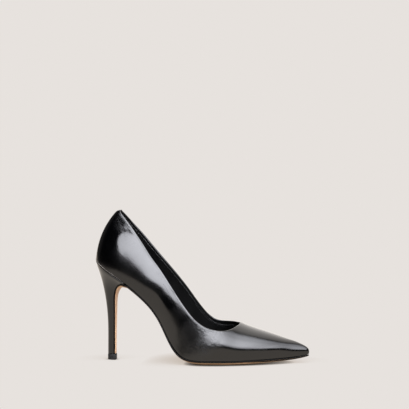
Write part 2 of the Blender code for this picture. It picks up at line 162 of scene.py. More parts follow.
# Height of the top edge of the upper, seen from the side, from the back seam to past the throat: x, height
# on the lateral side and height on the medial side
TOPLINE_ROWS = (
    (24.0, 156.0, 156.0),
    (36.0, 143.4, 141.0),
    (44.0, 132.8, 132.3),
    (52.0, 121.1, 123.1),
    (58.0, 112.0, 116.2),
    (66.0, 101.6, 107.1),
    (80.0, 81.7, 90.2),
    (95.0, 60.7, 69.0),
    (108.0, 46.4, 50.0),
    (120.0, 39.1, 40.6),
    (132.0, 36.2, 39.5),
    (142.0, 36.9, 40.1),
    (148.5, 40.0, 41.1),
    (155.0, 45.0, 45.0),
)

# Sections of the heel from the seat to the tip. The breast is the front edge of the outsole where it
# runs down the heel, the back is the rear outline, and seat_share is how far the section keeps the
# outline of the seat instead of an oval.
HEEL_COLUMNS = ("breast_x", "breast_z", "lateral", "medial", "dome", "back_x", "back_z", "seat_share")
HEEL_ROWS = (
    (32.8, 78.5, 22.6, 21.0, 2.2, -0.7, 101.9, 1.00),
    (29.7, 78.9, 20.4, 19.2, 2.4, 0.4, 98.0, 0.90),
    (26.6, 78.0, 17.0, 16.3, 2.3, 2.2, 93.2, 0.75),
    (23.8, 75.5, 13.4, 13.0, 1.7, 3.8, 88.2, 0.55),
    (21.9, 71.8, 10.4, 10.2, 1.0, 5.3, 82.8, 0.35),
    (20.7, 66.9, 8.2, 8.1, 0.5, 7.0, 75.5, 0.20),
    (20.2, 57.3, 6.2, 6.2, 0.3, 9.2, 63.5, 0.10),
    (20.0, 42.6, 4.8, 4.8, 0.3, 11.1, 46.0, 0.00),
    (19.7, 20.6, 4.0, 4.0, 0.3, 11.6, 21.5, 0.00),
    (19.6, 6.5, 4.0, 4.0, 0.3, 11.5, 6.5, 0.00),
)
OVAL_POWER = 2.2

# Round edge on top of the heel: drawn in from the outline, at a depth below the groove
HEEL_TOP_ROWS = ((0.4, 0.0), (0.15, 0.02), (0.04, 0.08), (0.0, 0.25))

# The formula of the bulges peaks at 1 with this factor. The power sets how square the sole's dome is.
SWELL_PEAK = 27 / 4
SOLE_DOME_POWER = 6.0

# Places x that lead the sole along the waist to where it turns down the breast, and the gap that the grid of
# the sole keeps in front of the last of them
BREAST_LEAD_X = (49.0, 43.0, 37.0)
BREAST_LEAD_GAP = 0.5

# Plan of the top piece under the heel tip, and its profile: height and how far it is drawn in
TOP_PIECE_BACK = 11.3
TOP_PIECE_FRONT = 20.0
TOP_PIECE_HALF_WIDTH = 4.2
TOP_PIECE_ROWS = ((0.0, 0.4), (0.15, 0.12), (0.4, 0.0), (5.6, 0.0), (5.85, 0.1), (6.0, 0.3))

# Profiles of the sole's painted edge, from its top round to the underside, and of the sock's edge, from its
# underside up: drawn in by an inset, at a depth or a height
SOLE_EDGE_ROWS = ((0.15, 0.30), (0.00, 0.45), (0.00, 1.15), (0.08, 1.42), (0.25, 1.60), (0.55, 1.70))
SOCK_EDGE_ROWS = ((0.0, 0.0), (0.0, 1.4), (0.2, 1.8), (0.6, 2.0))

# Numbers of steps in the fine skins
OPEN_STEPS = 240
VAMP_STEPS = 90
WALL_STEPS = 100
INSIDE_STEPS = 16
RIM_STEPS = 8
ACROSS_STEPS = 48
BREAST_STEPS = 110
HEEL_RING_STEPS = 120
FINE_STEPS = 400
HEM_STEPS = 4

# Searches by halving, and the row of the last where the search for the throat starts
HALVINGS = 40
THROAT_SEARCH_ROW = 9

# Steps for reading a slope, the least length that a direction is divided by, and the distances in metres at
# which points merge and edges are dropped
SLOPE_STEP = 0.01
BREAST_SLOPE_STEP = 0.05
LEAST_LENGTH = 1e-12
MERGE_DISTANCE = 2e-7
LEAST_EDGE = 1e-7

# How strongly steps crowd towards the heel, the toe, the foot and both ends of the wall, and how far the
# lines of the wall bow forward near the throat
HEEL_CROWDING = 1.15
TOE_CROWDING = 1.6
FOOT_CROWDING = 1.5
END_CROWDING = 0.75
THROAT_BOW = 55.0
THROAT_BOW_REACH = 30.0

# Looks of the polished leather, and the places in the shoe's frame where its grain is coarse, where lighter
# streaks of painted sheen lie along the highlight on the quarter and where creases dull it, each with an
# inner and an outer reach
BLACK = (0.0004, 0.0004, 0.0005)
LEATHER_IOR = 1.58
LEATHER_ROUGHNESS = 0.14
LEATHER_CHANGE = 0.03
BALL_CENTRES = ((114.0, -34.0, 30.0), (112.0, 36.0, 30.0))
BALL_REACH = (14.0, 30.0)
BALL_ROUGHNESS = 0.12
PAINTED_SHEEN_FROM = (33.0, -17.0, 133.0)
PAINTED_SHEEN_TO = (66.0, -20.0, 94.0)
PAINTED_SHEEN_PATCHES = 5
PAINTED_SHEEN_REACH = (2.0, 10.0)
PAINTED_SHEEN_COLOUR = (0.007, 0.007, 0.0075)
CREASED_CENTRE = (29.0, -13.0, 144.0)
CREASED_REACH = (5.0, 14.0)
CREASED_ROUGHNESS = 0.12

# Noises: wavelength, detail, stretch along the axes and how far these are tilted in side view, in degrees.
# Those that make bumps have a depth. A span holds the values of a noise that count as none and as all.
GRAIN_NOISE = (0.9, 3.0)
GRAIN_DEPTH = 0.015
WAVE_NOISE = (6.0, 2.0, (1.0, 1.0, 3.5), -40.0)
WAVE_DEPTH = 0.05
PEBBLE_NOISE = (1.9, 1.0, (1.0, 1.0, 1.5), -40.0)
PEBBLE_DEPTH = 0.18
PAINTED_SHEEN_NOISE = (4.0, 3.0, (1.0, 1.0, 5.0), -40.0)
RUBBED_NOISE = (14.0, 3.0)
PATCH_NOISE = (7.0, 4.0, (3.0, 1.0, 3.0))
WIDE_SPAN = (0.3, 0.7)
NARROW_SPAN = (0.35, 0.65)

# Matt surfaces: name, colour, roughness, sheen, wavelength and depth of the grain. In patches the roughness
# changes, and the colour is lighter or goes over to a second one.
MATT_DETAIL = 3.0
MATT_CHANGE = 0.06
MATT_LIGHTER = 1.25
MATT_ROWS = (
    ("lining_leather", (0.0012, 0.0012, 0.0012), 0.6, 0.12, 0.8, 0.03),
    # Painted highlight: the light strip along the foot of the upper over the heel
    ("painted_highlight_edge", (0.16, 0.15, 0.14), 0.45, 0.2, 0.6, 0.02),
    ("lining_edge", (0.05, 0.05, 0.05), 0.7, 0.2, 0.5, 0.03),
    ("sole_leather", (0.52, 0.33, 0.19), 0.5, 0.4, 0.6, 0.02, (0.46, 0.28, 0.16)),
    ("edge_paint", (0.002, 0.002, 0.002), 0.5, 0.08, 1.2, 0.01),
    ("heel_rubber", (0.006, 0.006, 0.006), 0.6, 0.3, 0.4, 0.02),
    ("black_thread", (0.004, 0.004, 0.004), 0.5, 0.4, 0.3, 0.03),
)

# Camera in the shoe's frame and degrees, and the studio in metres. The azimuth turns from the lateral
# side towards the toe.
CAMERA_PLACE = (415.85, -1962.68, 296.41)
CAMERA_AZIMUTH = 8.783
CAMERA_DOWN = 3.873
CAMERA_LENS = 170.91
CAMERA_SENSOR = 36.0
STUDIO_COLOUR = (0.799, 0.761, 0.730)
# Painted shade of the floor's glow: a soft shadow away from the light and a dark contact shadow, each with
# its reach, and a painted reflection tint for the floor as the shoe mirrors it
SHADOW_COLOUR = (0.45, 0.36, 0.28)
MIRRORED_FLOOR = (1.19, 1.13, 1.04)
CONTACT_SHADOW_COLOUR = (0.02, 0.015, 0.01)
SHADOW_REACH = 0.036
CONTACT_REACH = 0.004
SHADOW_SAMPLES = 8
LIGHT_FROM = (0.45, -0.75, 0.5)
FLOOR_FRONT = -0.75
FLOOR_BACK = 4.0
FLOOR_HALF_WIDTH = 4.0

# The room mirrored in the shoe: its brightness from in front of the shoe to behind it, and the share of it
# that a flag at the heel end leaves. Each goes from one part of a direction to another, and from low to high.
ROOM_COLOUR = (1.0, 0.95, 0.91)
ROOM_BEHIND = (0.0, 0.5, 0.03, 1.4)
ROOM_FLAG = (-0.42, -0.17, 0.05, 1.0)

# The softbox: a sloping panel through a low and a high line at (y, z) in metres. Its outline is in pairs of
# x in metres and share of the way from the low line to the high one. Its brightness goes by x and by that
# share, and the latter differs between the heel end and the toe end, with a turn between two places x.
SOFTBOX_LOW = (-0.80, 0.235)
SOFTBOX_HIGH = (0.14, 0.83)
SOFTBOX_OUTLINE = (
    (-0.16, 0.0), (0.28, 0.0), (0.36, -0.10), (0.46, -0.15), (0.66, -0.14), (0.80, 0.04), (1.30, 0.08),
    (1.30, 1.0), (-0.40, 1.0), (-0.40, 0.62), (-0.30, 0.56), (-0.12, 0.44), (0.04, 0.36), (0.04, 0.27),
    (-0.04, 0.262), (-0.13, 0.285), (-0.23, 0.30), (-0.35, 0.27), (-0.34, 0.20), (-0.30, 0.13), (-0.24, 0.06),
)
SOFTBOX_RADIANCE = 11.0
SOFTBOX_COLOUR = (0.97, 0.98, 1.05)
SOFTBOX_ALONG = (
    (-0.41, 0.7), (-0.07, 0.9), (0.17, 1.05), (0.27, 0.8), (0.35, 0.93), (0.42, 0.78),
    (0.50, 0.62), (0.60, 0.54), (0.73, 0.60), (0.85, 0.46), (1.11, 0.45), (1.30, 0.0),
)
SOFTBOX_UP_HEEL = ((0.0, 0.0), (0.05, 0.9), (0.15, 1.0), (0.95, 1.0), (1.0, 0.0))
SOFTBOX_UP_TOE = (
    (-0.15, 0.25), (-0.08, 0.6), (0.03, 1.0), (0.15, 1.1), (0.26, 0.95),
    (0.42, 0.82), (0.53, 0.66), (0.60, 0.57), (0.75, 0.5), (1.0, 0.1),
)
SOFTBOX_TURN = (0.20, 0.33)


def columns(names, rows):
    return dict(zip(names, np.array(rows, float).T))


def pick(table, *names):
    """Rows of the named columns of a table."""
    return np.stack([table[name] for name in names], axis=1)


def spline(knots, values, closed=False):
    """A smooth curve through rows of values at the knots. A closed one ends on its first row."""
    knots = np.asarray(knots, float)
    values = np.asarray(values, float)
    last = len(knots) - 1
    step = np.diff(knots)
    slope = np.diff(values, axis=0) / step[:, None]
    matrix = np.eye(last + 1)
    bends = np.zeros_like(values)
    for i in range(1, last):
        matrix[i, i - 1 : i + 2] = step[i - 1], 2 * (step[i - 1] + step[i]), step[i]
        bends[i] = 6 * (slope[i] - slope[i - 1])
    if closed:
        matrix[0, last] = -1
        matrix[last, [last - 1, 0, 1]] = step[-1], 2 * (step[-1] + step[0]), step[0]
        matrix[last, last] = 0
        bends[last] = 6 * (slope[0] - slope[-1])
    bends = np.linalg.solve(matrix, bends)

    def curve(places):
        places = np.clip(np.asarray(places, float), knots[0], knots[-1])
        i = np.clip(np.searchsorted(knots, places, side="right") - 1, 0, last - 1)
        width = step[i][..., None]
        after = (places - knots[i])[..., None]
        before = width - after
        cubic = (bends[i] * before**3 + bends[i + 1] * after**3) / (6 * width)
        low = (values[i] / width - bends[i] * width / 6) * before
        high = (values[i + 1] / width - bends[i + 1] * width / 6) * after
        return cubic + low + high

    return curve


def slope_of(curve, places, step=SLOPE_STEP):
    return (curve(places + step) - curve(places - step)) / (2 * step)


def between(places, knots, rows):
    """Rows of values at the knots, read at the places in straight lines."""
    return np.stack([np.interp(places, knots, column) for column in rows.T], axis=-1)


def travelled(points):
    """Distance along a line of points, from its first."""
    steps = np.linalg.norm(np.diff(points, axis=0), axis=1)
    return np.concatenate([[0.0], np.cumsum(steps)])


def unit(vectors):
    return vectors / np.maximum(np.linalg.norm(vectors, axis=-1, keepdims=True), LEAST_LENGTH)


def smooth_step(values, low, high):
    share = np.clip((values - low) / (high - low), 0, 1)
    return share * share * (3 - 2 * share)


last_table = columns(LAST_COLUMNS, LAST_ROWS)
heel_table = columns(HEEL_COLUMNS, HEEL_ROWS)
topline_rows = np.array(TOPLINE_ROWS)

# Stations run along the feather line from the back seam to the toe tip: the lateral side is negative.
side_lengths = [travelled(pick(last_table, "feather_x", side, "feather_z")) for side in ("lateral", "medial")]
ROW_STATIONS = np.mean(side_lengths, axis=0)
TOE = ROW_STATIONS[-1]

# The shoe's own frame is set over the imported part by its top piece, which lies square to both.
tip_low = np.array(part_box("top_piece")[0]) / MILLIMETRE
ORIGIN = np.array([TOP_PIECE_BACK, -TOP_PIECE_HALF_WIDTH, 0.0]) - np.array([tip_low[0], tip_low[1], 0.0])


def side_rows(side, sign):
    """Rows of the last on one side, with their columns in the order in which wall_point reads them."""
    shared = ("ridge_x", "ridge_y", "ridge_z", "lean", "pitch", "wall_power", "crown_power")
    rows = pick(last_table, "feather_x", side, *shared, "bulge_" + side)
    rows[:, 1] *= sign
    return rows


section_at = spline(
    np.concatenate([-ROW_STATIONS[::-1], ROW_STATIONS[1:]]),
    np.concatenate([side_rows("lateral", -1)[::-1], side_rows("medial", 1)[1:]]),
    closed=True,
)
feather_height = spline(last_table["feather_x"], pick(last_table, "feather_z"))
dome_height = spline(last_table["feather_x"], pick(last_table, "sole_dome"))
topline_height = spline(topline_rows[:, 0], topline_rows[:, 1:])


def wall_point(station, turn, inset=0.0):
    """A point of the last: turn goes from 0 at the feather line to a quarter circle at the ridge."""
    section = section_at(station)
    feather_xy, ridge_xy = section[..., 0:2], section[..., 2:4]
    ridge_z, lean, pitch, wall_power, crown_power, bulge = np.moveaxis(section[..., 4:10], -1, 0)
    slant = np.stack([lean, np.zeros_like(lean)], axis=-1)
    reach = ridge_xy - feather_xy - slant
    reach_length = np.linalg.norm(reach, axis=-1, keepdims=True)
    inward = reach / reach_length
    foot_xy = feather_xy + inward * inset
    foot_z = feather_height(foot_xy[..., 0])[..., 0]
    rise = np.sin(turn) ** (2 / wall_power)
    fold = 1 - np.maximum(np.cos(turn), 0.0) ** (2 / crown_power)
    swell = bulge * SWELL_PEAK * rise * (1 - rise) ** 2
    sideways = (reach - inward * inset) * fold[..., None] - inward * swell[..., None]
    xy = foot_xy + slant * rise[..., None] + sideways
    crown_climb = pitch * reach_length[..., 0]
    z = foot_z + (ridge_z - inset - foot_z - crown_climb) * rise + crown_climb * fold
    return np.concatenate([xy, z[..., None]], axis=-1)


def halving(low, high, past):
    """The first value from low to high that is past what is looked for."""
    for _ in range(HALVINGS):
        middle = (low + high) / 2
        low, high = np.where(past(middle), (low, middle), (middle, high))
    return high


def topline_turn(stations, drop):
    """The turn at which each section reaches the top edge lowered by the drop."""
    side = (stations > 0).astype(int)[:, None]

    def past(turns):
        point = wall_point(stations, turns)
        edge = np.take_along_axis(topline_height(point[:, 0]), side, axis=1)[:, 0]
        return point[:, 2] >= edge - drop

    return halving(np.zeros_like(stations), np.full_like(stations, np.pi / 2), past)


def throat_station(drop):
    """The station whose ridge lies on the top edge lowered by the drop."""

    def past(station):
        x, _, z = wall_point(station, np.pi / 2)
        return z <= topline_height(x).mean() - drop

    return halving(ROW_STATIONS[THROAT_SEARCH_ROW], TOE, past)


def vamp_stations(throat):
    """Stations of one side past the throat, closer together round the toe tip."""
    return throat + (TOE - throat) * (1 - np.linspace(1, 0, VAMP_STEPS + 1)[1:] ** TOE_CROWDING)


def foot_stations(throat):
    """Stations of one side where the lines of the wall leave the feather line, closer round the heel."""
    open_share = np.linspace(0, 1, OPEN_STEPS + 1) ** HEEL_CROWDING
    return np.concatenate([throat * open_share, vamp_stations(throat)])


def edge_stations(sign, throat, drop):
    """Stations and turns of one side where those lines end: on the top edge, then on the ridge."""
    fine = throat * (1 - np.linspace(1, 0, FINE_STEPS) ** 2)
    fine_turn = topline_turn(sign * fine, drop)
    fine_turn[-1] = np.pi / 2
    length = travelled(wall_point(sign * fine, fine_turn))
    wanted = foot_stations(throat)[: OPEN_STEPS + 1] / throat * length[-1]
    vamp = vamp_stations(throat)
    stations = np.concatenate([np.interp(wanted, length, fine), vamp])
    turns = np.concatenate([np.interp(wanted, length, fine_turn), np.full_like(vamp, np.pi / 2)])
    return stations, turns


def wall_lines(sign, throat, drop, shares):
    """Stations and turns of the wall of one side, with each line divided by the shares of its length.
    Lines near the throat bow forward, so that they meet the top edge at an angle."""
    fine = np.linspace(0, 1, FINE_STEPS) ** FOOT_CROWDING
    stations, turns = [], []
    for foot, edge, edge_turn in zip(foot_stations(throat), *edge_stations(sign, throat, drop)):
        nearness = np.exp(-(((edge - throat) / THROAT_BOW_REACH) ** 2))
        bow = THROAT_BOW * nearness * (TOE - edge) / (TOE - throat)
        line_stations = sign * (foot + (edge - foot) * fine + bow * fine**2 * (1 - fine))
        line_turns = edge_turn * fine
        length = travelled(wall_point(line_stations, line_turns))
        wanted = shares * length[-1]
        stations.append(np.interp(wanted, length, line_stations))
        turns.append(np.interp(wanted, length, line_turns))
    return np.array(stations), np.array(turns)


class Wall:
    """A grid over the outside of the upper. Its columns run from the toe back along the lateral side and
    forward along the medial side to the toe again, and its rows from the feather line to the top edge."""

    def __init__(self, drop, steps):
        throat = throat_station(drop)
        even = np.linspace(0, 1, steps + 1)
        shares = even - END_CROWDING * np.sin(2 * np.pi * even) / (2 * np.pi)
        lateral, medial = (wall_lines(sign, throat, drop, shares) for sign in (-1, 1))
        stations, turns = (np.concatenate([left[:0:-1], right]) for left, right in zip(lateral, medial))
        self.points = wall_point(stations, turns)
        self.index = np.arange(self.points.size // 3).reshape(self.points.shape[:2])
        self.index[-1] = self.index[0]
        for step in range(VAMP_STEPS + 1):
            self.index[-1 - step, -1] = self.index[step, -1]
        self.opening = slice(VAMP_STEPS, VAMP_STEPS + 2 * OPEN_STEPS + 1)
        self.climb = np.array([travelled(line) for line in self.points])
        self.normals = self.outward()

    def outward(self):
        """Outward direction at each point, shared by points that lie on each other."""
        along = self.points[1:] - self.points[:-1]
        up = self.points[:, 1:] - self.points[:, :-1]
        total = np.zeros((self.index.size, 3))
        for column_end in (0, 1):
            for row_end in (0, 1):
                rows = slice(row_end, row_end - 1 or None)
                sides = slice(column_end, column_end - 1 or None)
                face = np.cross(up[sides], along[:, rows])
                corner = self.index[column_end : column_end + len(along), row_end : row_end + up.shape[1]]
                np.add.at(total, corner.ravel(), face.reshape(-1, 3))
        return unit(total)[self.index]

    def inside(self, depth):
        return self.points - self.normals * depth

    def press(self, depth):
        """Presses each point in by its depth, and works out the directions again."""
        self.points = self.inside(depth[..., None])
        self.normals = self.outward()

    def below_top(self, distance):
        """Points of the opening at a distance down the wall from its top row, with their directions."""
        points, normals = [], []
        for column in range(self.opening.start, self.opening.stop):
            climb = self.climb[column]
            wanted = climb[-1] - distance
            points.append(between(wanted, climb, self.points[column]))
            normals.append(between(wanted, climb, self.normals[column]))
        return np.array(points), unit(np.array(normals))


class Skin:
    """Points and faces of one piece, with a material number for each face."""

    def __init__(self):
        self.points = []
        self.faces = []
        self.slots = []
        self.count = 0

    def add(self, points):
        points = np.asarray(points, float)
        start = self.count
        self.points.append(points.reshape(-1, 3))
        self.count += points.size // 3
        return np.arange(start, self.count).reshape(points.shape[:-1])

    def join(self, grid, slot=0):
        quads = np.stack([grid[:-1, :-1], grid[:-1, 1:], grid[1:, 1:], grid[1:, :-1]], axis=-1).reshape(-1, 4)
        self.faces.append(quads)
        self.slots.append(np.full(len(quads), slot))

    def bridge(self, *lines, slot=0):
        """Faces from each line of points to the next."""
        self.join(np.stack(lines, axis=1), slot)

    def mesh(self, name):
        """The mesh in metres, with points that lie on each other merged and faces turned out."""
        mesh = bpy.data.meshes.new(name)
        points = (np.concatenate(self.points) - ORIGIN) * MILLIMETRE
        faces = np.concatenate(self.faces)
        mesh.from_pydata(points.tolist(), [], faces.tolist())
        mesh.polygons.foreach_set("material_index", np.concatenate(self.slots).astype(np.int32))
        work = bmesh.new()
        work.from_mesh(mesh)
        bmesh.ops.remove_doubles(work, verts=work.verts, dist=MERGE_DISTANCE)
        bmesh.ops.dissolve_degenerate(work, dist=LEAST_EDGE, edges=work.edges)
        loose = [point for point in work.verts if not point.link_faces]
        bmesh.ops.delete(work, geom=loose, context="VERTS")
        bmesh.ops.recalc_face_normals(work, faces=work.faces)
        work.to_mesh(mesh)
        work.free()
        mesh.shade_smooth()
        return mesh


def beside_line(points, start, end):
    """Share along a line seen from the side and distance to its rear side, for points of the wall."""
    start, end = np.array(start), np.array(end)
    length = np.linalg.norm(end - start)
    ahead = (end - start) / length
    away = points[..., [0, 2]] - start
    return (away @ ahead) / length, away @ np.array([ahead[1], -ahead[0]])


def wrinkles(points):
    """Depth of the soft lines below the collar."""
    total = np.zeros(points.shape[:-1])
    for x0, z0, x1, z1, half_width, depth in WRINKLE_ROWS:
        share, distance = beside_line(points, (x0, z0), (x1, z1))
        ends = smooth_step(share, *WRINKLE_FADE) * smooth_step(1 - share, *WRINKLE_FADE)
        total += depth * ends * np.exp(-((distance / half_width) ** 2))
    return np.where(points[..., 1] < 0, total, 0.0)


def side_seam(points):
    """Depth of the side seam, negative where the quarter stands over the vamp."""
    _, behind = beside_line(points, SEAM_TOP, SEAM_FOOT)
    raised = smooth_step(behind, -SEAM_EDGE, SEAM_EDGE) - smooth_step(behind, SEAM_EDGE, SEAM_FADE)
    return np.where(points[..., 1] > 0, -SEAM_STEP * raised, 0.0)


def rim_frame(wall):
    """Top row of the opening, its outward direction, the direction up out of the edge and the height of
    the rounded rim that fills the wall up to the true top edge."""
    top = wall.points[wall.opening, -1]
    normal = wall.normals[wall.opening, -1]
    loop = np.concatenate([top[-2:-1], top, top[1:2]])
    along = unit(loop[2:] - loop[:-2])
    up = unit(np.cross(along, normal))
    side = (np.arange(len(top)) > OPEN_STEPS).astype(int)
    slope = np.take_along_axis(slope_of(topline_height, top[:, 0]), side[:, None], axis=1)[:, 0]
    height = RIM_DROP / (up[:, 2] - slope * up[:, 0])
    return top, normal, up, height[:, None]


def rim_rings(top, normal, up, height):
    """Rings of the folded edge, from above the top row of the wall over to its inner side."""
    lean = np.radians(RIM_FACE_LEAN)
    out = normal * np.cos(lean) + up * np.sin(lean)
    rise = up * np.cos(lean) - normal * np.sin(lean)
    foot = top + up * RIM_PRESS_WIDTH
    rings = [top + up * RIM_PRESS_WIDTH / 2 - normal * RIM_PRESS_DEPTH]
    rings += [foot + rise * RIM_FACE * share for share in RIM_FACE_SHARES]
    middle = rings[-1] - out * RIM_HALF_THICKNESS
    round_height = np.maximum(height - RIM_FACE - RIM_PRESS_WIDTH, RIM_LEAST_ROUND)
    for angle in np.linspace(0, np.pi, RIM_STEPS + 1)[1:]:
        rings.append(middle + out * RIM_HALF_THICKNESS * np.cos(angle) + rise * round_height * np.sin(angle))
    return rings


def upper_leather(wall):
    """The outer leather: wall, folded top edge and its turned in hem, closed inside and underneath.
    Material 1 is the hem and 2 a painted highlight, a lighter strip along the foot over the heel."""
    backing = Wall(RIM_DROP + FOLD_DEPTH + FOLD_HIDDEN, INSIDE_STEPS)
    foot_round = SEAT_ROUND + (FEATHER_ROUND - SEAT_ROUND) * smooth_step(wall.points[..., 0], *SEAT_END)
    tucked = np.clip(1 - wall.climb / foot_round, 0, 1)
    tuck = foot_round * (1 - np.sqrt(1 - tucked**2))
    skin = Skin()
    outer = skin.add(wall.inside(tuck[..., None]))
    inner = skin.add(backing.inside(LEATHER))
    skin.join(outer)
    # Painted highlight: a lighter strip along the foot of the upper over the heel, lower towards the front
    wear_and_highlight = wall.climb < HIGHLIGHT_STRIP_HEIGHT * (1 - wall.points[..., 0] / HIGHLIGHT_STRIP_END)
    skin.slots[0] = np.where(wear_and_highlight[:-1, 1:], 2, 0).ravel()
    skin.join(inner)
    skin.bridge(outer[:, 0], inner[:, 0])
    top, normal, up, height = rim_frame(wall)
    rim = [outer[wall.opening, -1]]
    rim += [skin.add(ring) for ring in rim_rings(top, normal, up, height)]
    skin.bridge(*rim)
    hem = [rim[-1]]
    for depth in np.linspace(0, FOLD_DEPTH + FOLD_HIDDEN / 2, HEM_STEPS + 1)[1:]:
        hem.append(skin.add(top - normal * 2 * RIM_HALF_THICKNESS - up * depth))
    hem.append(inner[backing.opening, -1])
    skin.bridge(*hem, slot=1)
    return skin


def lining(wall):
    """The lining inside the upper, up to its trimmed edge below the folded top: material 1 is that edge."""
    skin = Skin()
    outer = skin.add(wall.inside(LINING_OUTER))
    inner = skin.add(wall.inside(LINING_INNER))
    skin.join(outer)
    skin.join(inner)
    skin.bridge(outer[:, 0], inner[:, 0])
    skin.bridge(outer[wall.opening, -1], inner[wall.opening, -1], slot=1)
    return skin


def stitches(skin, points, normals):
    """A row of stitches along a line: each a bead that lies half in the surface."""
    length = travelled(points)
    ahead = unit(np.gradient(points, axis=0))
    wanted = np.arange(STITCH_PITCH / 2, length[-1], STITCH_PITCH)
    around = np.linspace(0, 2 * np.pi, STITCH_SIDES + 1)[:, None]
    turn = np.linspace(-np.pi / 2, np.pi / 2, STITCH_RINGS + 1)[:, None, None]
    for place, normal, forward in zip(*(between(wanted, length, rows) for rows in (points, normals, ahead))):
        ring = np.cos(around) * normal + np.sin(around) * np.cross(normal, forward)
        middle = place + forward * STITCH_LENGTH / 2 * np.sin(turn)
        skin.join(skin.add(middle + ring * STITCH_HALF_WIDTH * np.cos(turn)))


def sewing(wall, lining_wall):
    """The stitches that show: a short row at the hem, a row along the side seam and one round the lining."""
    skin = Skin()
    points, normals = wall.below_top(HEM_ROW_DROP)
    shown = (points[:, 1] < 0) & (points[:, 0] > HEM_ROW_FROM_X) & (points[:, 0] < HEM_ROW_TO_X)
    stitches(skin, points[shown], normals[shown])
    points, normals = lining_wall.below_top(LINING_ROW_DROP)
    lateral = np.arange(len(points)) <= OPEN_STEPS
    for side in (lateral, ~lateral):
        shown = side & (points[:, 0] > LINING_ROW_FROM_X)
        stitches(skin, points[shown] - normals[shown] * LINING_INNER, -normals[shown])
    _, behind = beside_line(wall.points, SEAM_TOP, SEAM_FOOT)
    medial = slice(wall.opening.stop - 1, wall.opening.start + OPEN_STEPS, -1)
    mixed = np.concatenate([wall.points, wall.normals], axis=2)[medial]
    lines = range(wall.points.shape[1])[SEAM_ROW_LINES]
    row = np.array([between(SEAM_ROW_OFFSET, behind[medial, line], mixed[:, line]) for line in lines])
    stitches(skin, row[:, :3], unit(row[:, 3:]))
    return skin


def below_feather(x, depth):
    """Points (x, z) at a depth square to the feather line, below it where positive."""
    x = np.asarray(x, float)
    slope = slope_of(feather_height, x)[..., 0]
    tilt = np.sqrt(1 + slope**2)
    return x + depth * slope / tilt, feather_height(x)[..., 0] - depth / tilt


def outline(stations, inset):
    """Lateral and medial plan points of the feather line, drawn in by the inset."""
    flat = np.zeros_like(stations)
    lateral = wall_point(-stations, flat, inset)[:, :2]
    medial = wall_point(stations, flat, inset)[:, :2]
    return lateral, medial


def across(lateral, medial, share):
    """Rows of plan points from the lateral side to the medial side at each share from -1 to 1."""
    mix = (share[..., None] + 1) / 2
    return lateral[:, None] * (1 - mix) + medial[:, None] * mix


def crowded_shares(steps):
    """Shares from -1 to 1 that lie closer together at both edges."""
    return np.sin(np.linspace(-1, 1, steps + 1) * np.pi / 2)


def stack_of_layers(layers, slots):
    """A closed skin of grids laid one on the other: first and last whole, the others by their edges."""
    skin = Skin()
    grids = [skin.add(layer) for layer in layers]
    skin.join(grids[0], slots[0])
    skin.join(grids[-1], slots[-1])
    for low, high, slot in zip(grids[:-1], grids[1:], slots[1:]):
        for side in (0, -1):
            skin.bridge(low[:, side], high[:, side], slot=slot)
            skin.bridge(low[side], high[side], slot=slot)
    return skin


def breast_path():
    """Front edge of the outsole from the waist down the breast: rows of x, z, half widths and dome."""
    lead_x = np.array(BREAST_LEAD_X)
    lead_path_x, lead_path_z = below_feather(lead_x, CLEARANCE + SOLE_EDGE)
    lead_stations = np.interp(lead_x, last_table["feather_x"], ROW_STATIONS)
    lateral, medial = outline(lead_stations, 0.0)
    lead_dome = dome_height(lead_x)[:, 0]
    lead = np.stack([lead_path_x, lead_path_z, -lateral[:, 1], medial[:, 1], lead_dome], axis=1)
    heel_rows = pick(heel_table, "breast_x", "breast_z", "lateral", "medial", "dome")
    rows = np.concatenate([lead, heel_rows])
    knots = travelled(rows[:, :2])
    return spline(knots, rows), knots[len(lead) - 1 :]


breast_at, BREAST_KNOTS = breast_path()


def breast_frame(places):
    """Rows of the breast path, with the direction square to it that points into the heel."""
    rows = breast_at(places)
    ahead = unit(slope_of(breast_at, places, BREAST_SLOPE_STEP)[:, :2])
    into_heel = np.stack([ahead[:, 1], -ahead[:, 0]], axis=1)
    return rows, into_heel


def sole_layer(stations, share, inset, depth, dome):
    """A layer at a depth below the feather line, with the dome swelling it between its edges."""
    lateral, medial = outline(stations, inset)
    plan = across(lateral, medial, share)
    swell = dome * dome_height(plan[..., 0])[..., 0] * (1 - np.abs(share) ** SOLE_DOME_POWER)
    x, z = below_feather(plan[..., 0], depth + swell)
    return np.stack([x, plan[..., 1], np.maximum(z, 0.0)], axis=-1)


def insole():
    """The sock on the insole, with a rounded upper edge."""
    stations = foot_stations(throat_station(0.0))
    share = crowded_shares(ACROSS_STEPS // 2)
    gap = WALL + CLEARANCE
    layers = [sole_layer(stations, share, gap + inset, -height, 0.0) for inset, height in SOCK_EDGE_ROWS]
    return stack_of_layers(layers, [0] * len(layers))


def flap_layer(places, share, inset, depth, dome):
    """The same for the sole where it runs down the breast of the heel."""
    rows, into_heel = breast_frame(places)
    lateral = np.stack([rows[:, 0], inset - rows[:, 2]], axis=1)
    medial = np.stack([rows[:, 0], rows[:, 3] - inset], axis=1)
    plan = across(lateral, medial, share)
    swell = dome * rows[:, 4:5] * (1 - np.abs(share) ** SOLE_DOME_POWER)
    out = depth + swell - CLEARANCE - SOLE_EDGE
    x = rows[:, 0:1] - into_heel[:, 0:1] * out
    z = rows[:, 1:2] - into_heel[:, 1:2] * out
    return np.stack([x, plan[..., 1], z], axis=-1)


def black_band_shares(plan, share):
    """The shares of each row, moved so that the border of the black band lies on a line of the grid."""
    band_x, band_width = np.array(UNDERSIDE_BLACK_ROWS).T
    width = np.maximum(np.interp(plan[:, 0, 0], band_x, band_width), UNDERSIDE_BLACK_LEAST)
    half = np.linalg.norm(plan[:, -1] - plan[:, 0], axis=1) / 2
    border = 1 - np.minimum(width / np.maximum(half, UNDERSIDE_BLACK_LEAST), UNDERSIDE_BLACK_MOST_SHARE)
    knots = (0.0, share[-1 - UNDERSIDE_BLACK_LINES], 1.0)
    return np.array([np.sign(share) * np.interp(np.abs(share), knots, (0.0, line, 1.0)) for line in border])


